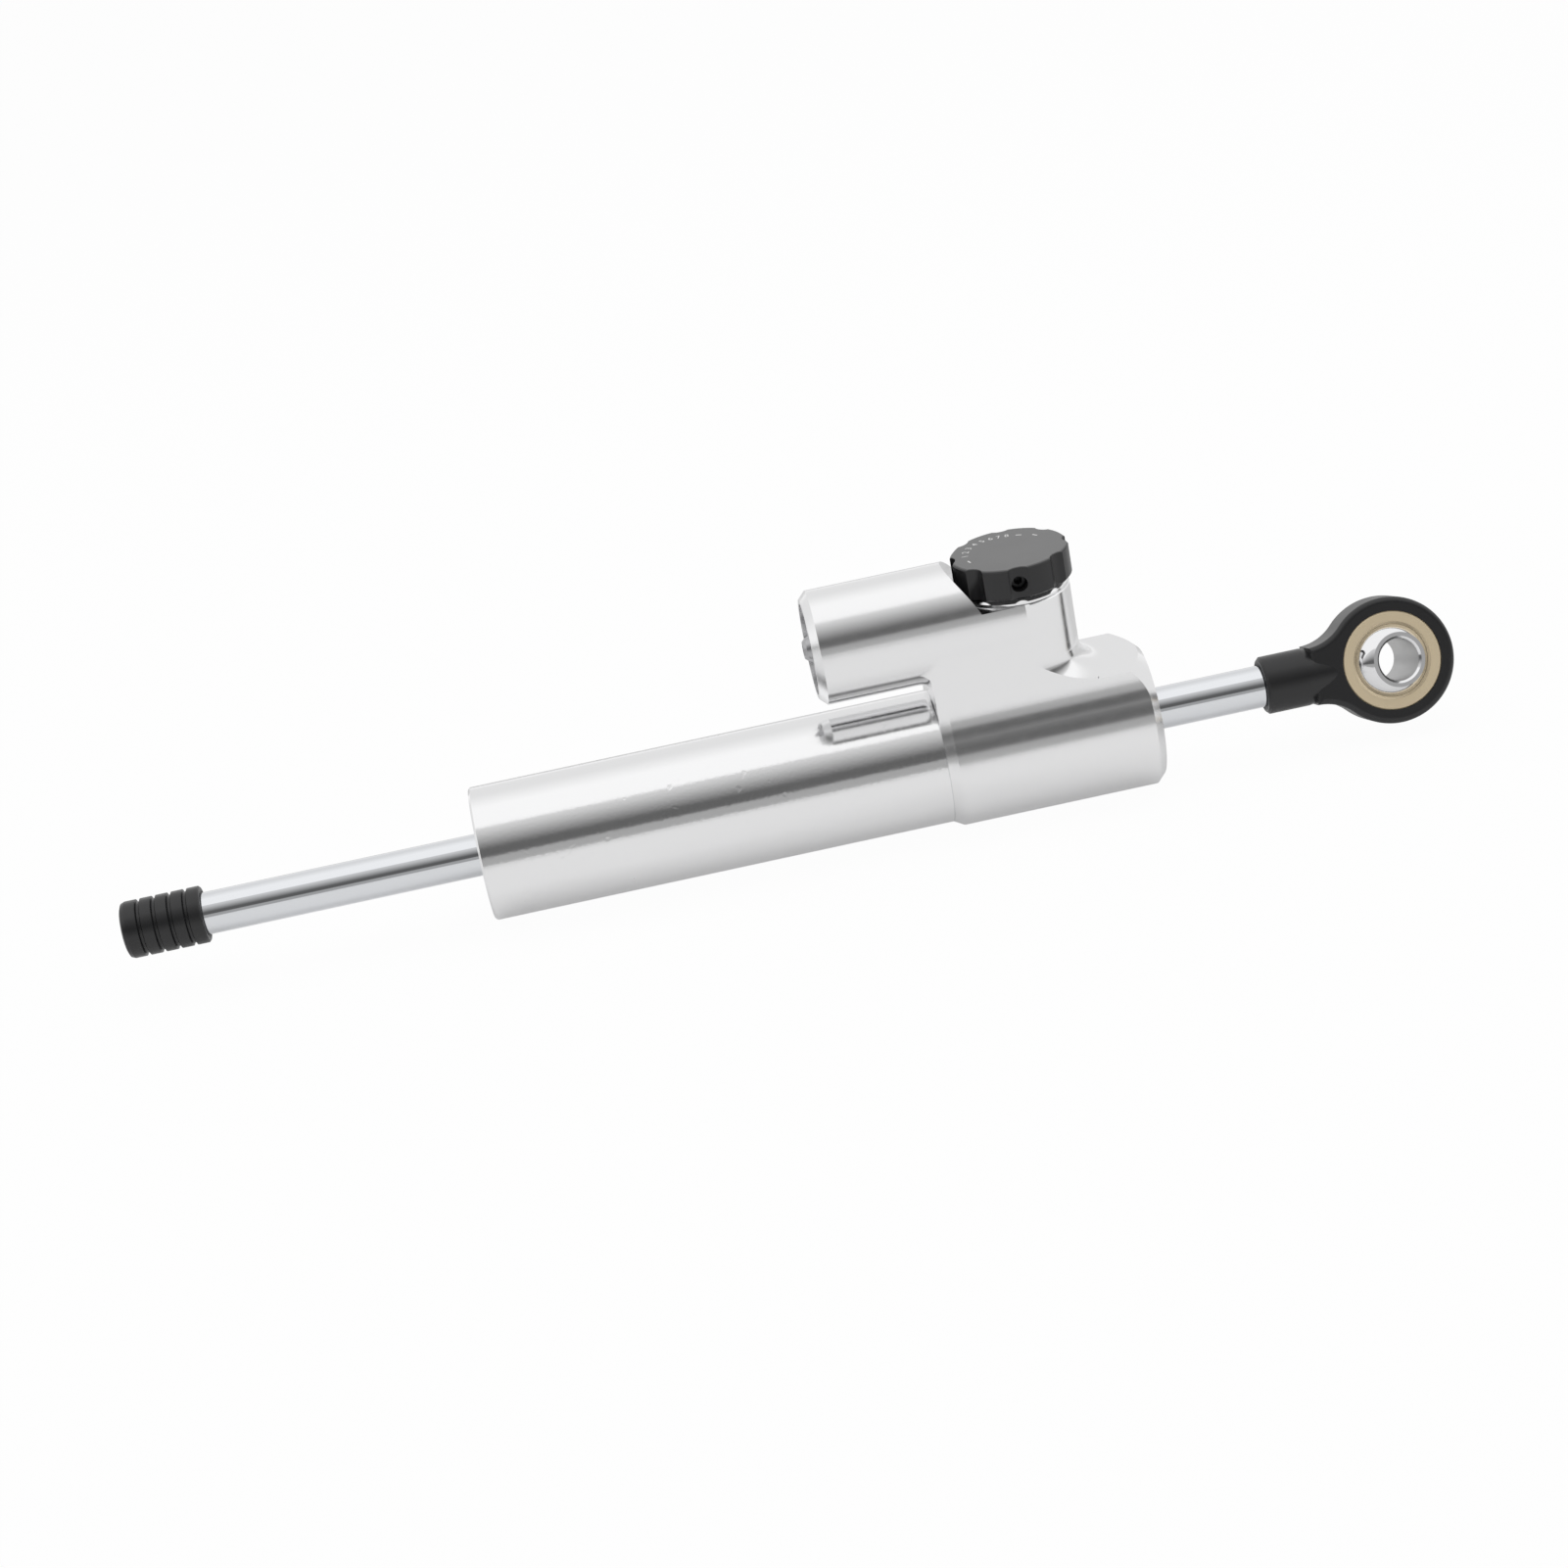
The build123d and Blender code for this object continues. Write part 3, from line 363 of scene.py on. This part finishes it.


# Compensating spring, wound as one fixed coil; the real one shortens as its piston comes in

springLook = {
    "node": "compensating_spring",
    "wire": 0.0009,
    "turns": 4,
    "perTurn": 28,
    "around": 12,
    "clear": 0.00001,
    "merge": 1e-7,
}


def makeSpring(look):
    # A circle carried along a helix about X: y = R cos t, z = R sin t, and x grows evenly with t.
    # The circle lies across the helix and shrinks to a point at both ends, which closes the wire.
    low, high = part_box(look["node"])
    wireRadius = look["wire"] / 2
    coilRadius = (high.z - low.z) / 2 - wireRadius
    middle = np.array([0.0, (high.y + low.y) / 2, (high.z + low.z) / 2])
    inset = wireRadius + look["clear"]
    t = np.linspace(0, 2 * np.pi * look["turns"], look["turns"] * look["perTurn"] + 1)
    t = np.concatenate([t[:1], t, t[-1:]])
    x = low.x + inset + (high.x - low.x - 2 * inset) * t / t[-1]
    outward = np.stack([np.zeros_like(t), np.cos(t), np.sin(t)], axis=-1)
    rise = (high.x - low.x - 2 * inset) / t[-1]
    tangent = np.stack([np.full_like(t, rise), -coilRadius * np.sin(t), coilRadius * np.cos(t)], axis=-1)
    side = np.cross(tangent, outward)
    side /= np.linalg.norm(side, axis=-1, keepdims=True)
    path = middle + coilRadius * outward + np.stack([x, np.zeros_like(x), np.zeros_like(x)], axis=-1)
    size = np.full_like(t, wireRadius)
    size[[0, -1]] = 0
    v = np.linspace(0, 2 * np.pi, look["around"], endpoint=False)[None, :, None]
    ring = np.cos(v) * outward[:, None] + np.sin(v) * side[:, None]
    item = gridMesh("compensatorCoil", path[:, None] + size[:, None, None] * ring, closedV=True)
    closed = bmesh.new()
    closed.from_mesh(item.data)
    bmesh.ops.remove_doubles(closed, verts=closed.verts, dist=look["merge"])
    bmesh.ops.recalc_face_normals(closed, faces=closed.faces)
    closed.to_mesh(item.data)
    closed.free()
    item.data.materials.append(materials["inner_steel"])
    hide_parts(look["node"])
    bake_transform(item)


makeSpring(springLook)
print("spring wound")


# Numerals and ticks on the knob's top

marks = {
    "size": 0.0018,
    "lift": 0.000006,
    "dash": (0.00115, 0.00028),
    # (character, radius in mm, angle in degrees); a dash is a short bar across the radius
    "places": (("1", 8.05, 174.0), ("2", 8.05, 159.0), ("3", 8.10, 145.0), ("4", 8.05, 131.0),
               ("5", 7.90, 118.0), ("6", 7.65, 105.5), ("7", 7.40, 94.0), ("8", 7.30, 82.0),
               ("-", 7.05, 63.5), ("-", 7.45, 37.7), ("-", 8.15, -163.5)),
    "color": (0.85, 0.85, 0.84),
    "rough": (0.5, 0.65),
    "fine": 1800,
    "broad": 500,
    "bump": 0.000002,
}


def characterMesh(character, size):
    curve = bpy.data.curves.new("numeral", "FONT")
    curve.body = character
    curve.size = size
    curve.align_x = "CENTER"
    curve.align_y = "CENTER"
    item = bpy.data.objects.new("numeral", curve)
    bpy.context.scene.collection.objects.link(item)
    mesh = bpy.data.meshes.new_from_object(item.evaluated_get(bpy.context.evaluated_depsgraph_get()))
    bpy.data.objects.remove(item)
    return mesh


def barMesh(length, height):
    # A flat bar as a grid in its own plane, centred on its middle
    across = np.linspace(-length / 2, length / 2, 5)
    along = np.linspace(-height / 2, height / 2, 3)
    u, v = np.meshgrid(across, along, indexing="ij")
    item = gridMesh("bar", np.stack([u, v, np.zeros_like(u)], axis=-1))
    mesh = item.data
    bpy.data.objects.remove(item)
    return mesh


def makeMarks(look):
    joined = bmesh.new()
    for character, radius, angle in look["places"]:
        mesh = barMesh(*look["dash"]) if character == "-" else characterMesh(character, look["size"])
        turn = math.radians(angle)
        out = Vector((math.cos(turn), math.sin(turn), 0)) * radius / 1000
        place = knobAxis + out + Vector((0, 0, look["lift"]))
        mesh.transform(Matrix.Translation(place) @ Matrix.Rotation(turn - math.pi / 2, 4, "Z"))
        joined.from_mesh(mesh)
    mesh = bpy.data.meshes.new("knobMarks")
    joined.to_mesh(mesh)
    joined.free()
    item = bpy.data.objects.new("knobMarks", mesh)
    bpy.context.scene.collection.objects.link(item)
    material, tree, shader = newMaterial("markPaint", Base_Color=(*look["color"], 1))
    grain, cloud = grained(tree, objectCoords(tree), look["fine"], look["broad"])
    tree.links.new(rangeNode(tree, cloud, *surface["cloudSpan"], *look["rough"]), shader.inputs["Roughness"])
    bumpFrom(tree, shader, grain, look["bump"])
    mesh.materials.append(material)
    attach(item, "adjuster")


makeMarks(marks)
print("knob marked")


# Floor, surroundings and light

studio = {
    "floorZ": headLow.z - 0.0001,
    "floorHalf": 3.0,
    "floorColor": (0.85, 0.85, 0.85),
    "floorSeen": 0.965,
    "floorMirrored": 0.22,
    # Strip of the floor behind the damper, as metal sees it: start, end and tone
    "strip": (0.05, 0.25, 0.30),
    # Soft edge of the strip, as a share of its depth
    "stripEdge": 0.12,
    "ambient": 0.5,
    "softboxPower": 3.5,
    "softboxSize": (1.4, 0.8),
    "softboxHeight": 0.75,
}

# Surroundings as metal sees them, by the angle in degrees from the front over the top to the back
surroundTones = ((0, 0.87), (2, 0.39), (15, 0.39), (17, 0.12), (30, 0.12), (60, 0.62), (66, 0.66),
                 (69, 1.0), (107, 1.0), (127, 0.87), (140, 0.80), (168, 0.80), (180, 1.0))


def makeFloor(look):
    # A flat grid z = const, large enough to fill every view
    half = look["floorHalf"]
    u, v = np.meshgrid(np.linspace(-half, half, 9), np.linspace(-half, half, 9), indexing="ij")
    floor = gridMesh("floor", np.stack([u, v, np.full_like(u, look["floorZ"])], axis=-1))
    material = bpy.data.materials.new("floorPaper")
    material.use_nodes = True
    tree = material.node_tree
    tree.nodes.clear()
    path = addNode(tree, "ShaderNodeLightPath")
    parts = addNode(tree, "ShaderNodeSeparateXYZ")
    tree.links.new(addNode(tree, "ShaderNodeTexCoord").outputs["Object"], parts.inputs[0])
    first, last, tone = look["strip"]
    edge = (last - first) * look["stripEdge"]
    stops = ((first - edge, 1.0), (first, tone), (last, tone), (last + edge, 1.0))
    mirrored = addNode(tree, "ShaderNodeEmission")
    stripTone = toneRamp(tree, parts.outputs["Y"], stops, first - 2 * edge, last + 2 * edge)
    tree.links.new(stripTone, mirrored.inputs["Color"])
    paper = addNode(tree, "ShaderNodeBsdfDiffuse")
    paper.inputs["Color"].default_value = (*look["floorColor"], 1)
    seen = addNode(tree, "ShaderNodeEmission")
    inner = addNode(tree, "ShaderNodeMixShader")
    outer = addNode(tree, "ShaderNodeMixShader")
    out = addNode(tree, "ShaderNodeOutputMaterial")
    kinds = (path.outputs["Is Glossy Ray"], path.outputs["Is Transmission Ray"])
    glossy = mathNode(tree, "ADD", *kinds, clamp=True)
    tree.links.new(mathNode(tree, "MULTIPLY", glossy, look["floorMirrored"]), inner.inputs["Fac"])
    tree.links.new(paper.outputs[0], inner.inputs[1])
    tree.links.new(mirrored.outputs[0], inner.inputs[2])
    camera = mathNode(tree, "MULTIPLY", path.outputs["Is Camera Ray"], look["floorSeen"])
    tree.links.new(camera, outer.inputs["Fac"])
    tree.links.new(inner.outputs[0], outer.inputs[1])
    tree.links.new(seen.outputs[0], outer.inputs[2])
    tree.links.new(outer.outputs[0], out.inputs["Surface"])
    floor.data.materials.append(material)


def makeWorld(look):
    # White to the camera, toned by angle to metal, and an even dimmer light on everything
    world = bpy.data.worlds.new("studio")
    bpy.context.scene.world = world
    world.use_nodes = True
    tree = world.node_tree
    tree.nodes.clear()
    path = addNode(tree, "ShaderNodeLightPath")
    parts = addNode(tree, "ShaderNodeSeparateXYZ")
    tree.links.new(addNode(tree, "ShaderNodeTexCoord").outputs["Generated"], parts.inputs[0])
    depth = mathNode(tree, "MULTIPLY", parts.outputs["Y"], -1.0)
    angle = mathNode(tree, "MULTIPLY", mathNode(tree, "ARCTAN2", parts.outputs["Z"], depth), 180 / math.pi)
    even, toned, white = (addNode(tree, "ShaderNodeBackground") for _ in range(3))
    even.inputs["Color"].default_value = (1, 1, 1, 1)
    even.inputs["Strength"].default_value = look["ambient"]
    tree.links.new(toneRamp(tree, angle, surroundTones, 0, 180), toned.inputs["Color"])
    white.inputs["Color"].default_value = (1, 1, 1, 1)
    inner = addNode(tree, "ShaderNodeMixShader")
    outer = addNode(tree, "ShaderNodeMixShader")
    tree.links.new(path.outputs["Is Glossy Ray"], inner.inputs["Fac"])
    tree.links.new(even.outputs[0], inner.inputs[1])
    tree.links.new(toned.outputs[0], inner.inputs[2])
    kinds = (path.outputs["Is Camera Ray"], path.outputs["Is Transmission Ray"])
    seen = mathNode(tree, "ADD", *kinds, clamp=True)
    tree.links.new(seen, outer.inputs["Fac"])
    tree.links.new(inner.outputs[0], outer.inputs[1])
    tree.links.new(white.outputs[0], outer.inputs[2])
    tree.links.new(outer.outputs[0], addNode(tree, "ShaderNodeOutputWorld").inputs["Surface"])


def makeSoftbox(look):
    lamp = bpy.data.lights.new("softbox", "AREA")
    lamp.shape = "RECTANGLE"
    lamp.size, lamp.size_y = look["softboxSize"]
    lamp.energy = look["softboxPower"]
    item = bpy.data.objects.new("softbox", lamp)
    bpy.context.scene.collection.objects.link(item)
    item.location = (knobAxis.x, 0, look["softboxHeight"])
    item.visible_glossy = False


makeFloor(studio)
makeWorld(studio)
makeSoftbox(studio)
bpy.context.scene.view_settings.view_transform = "Standard"
print("studio built")
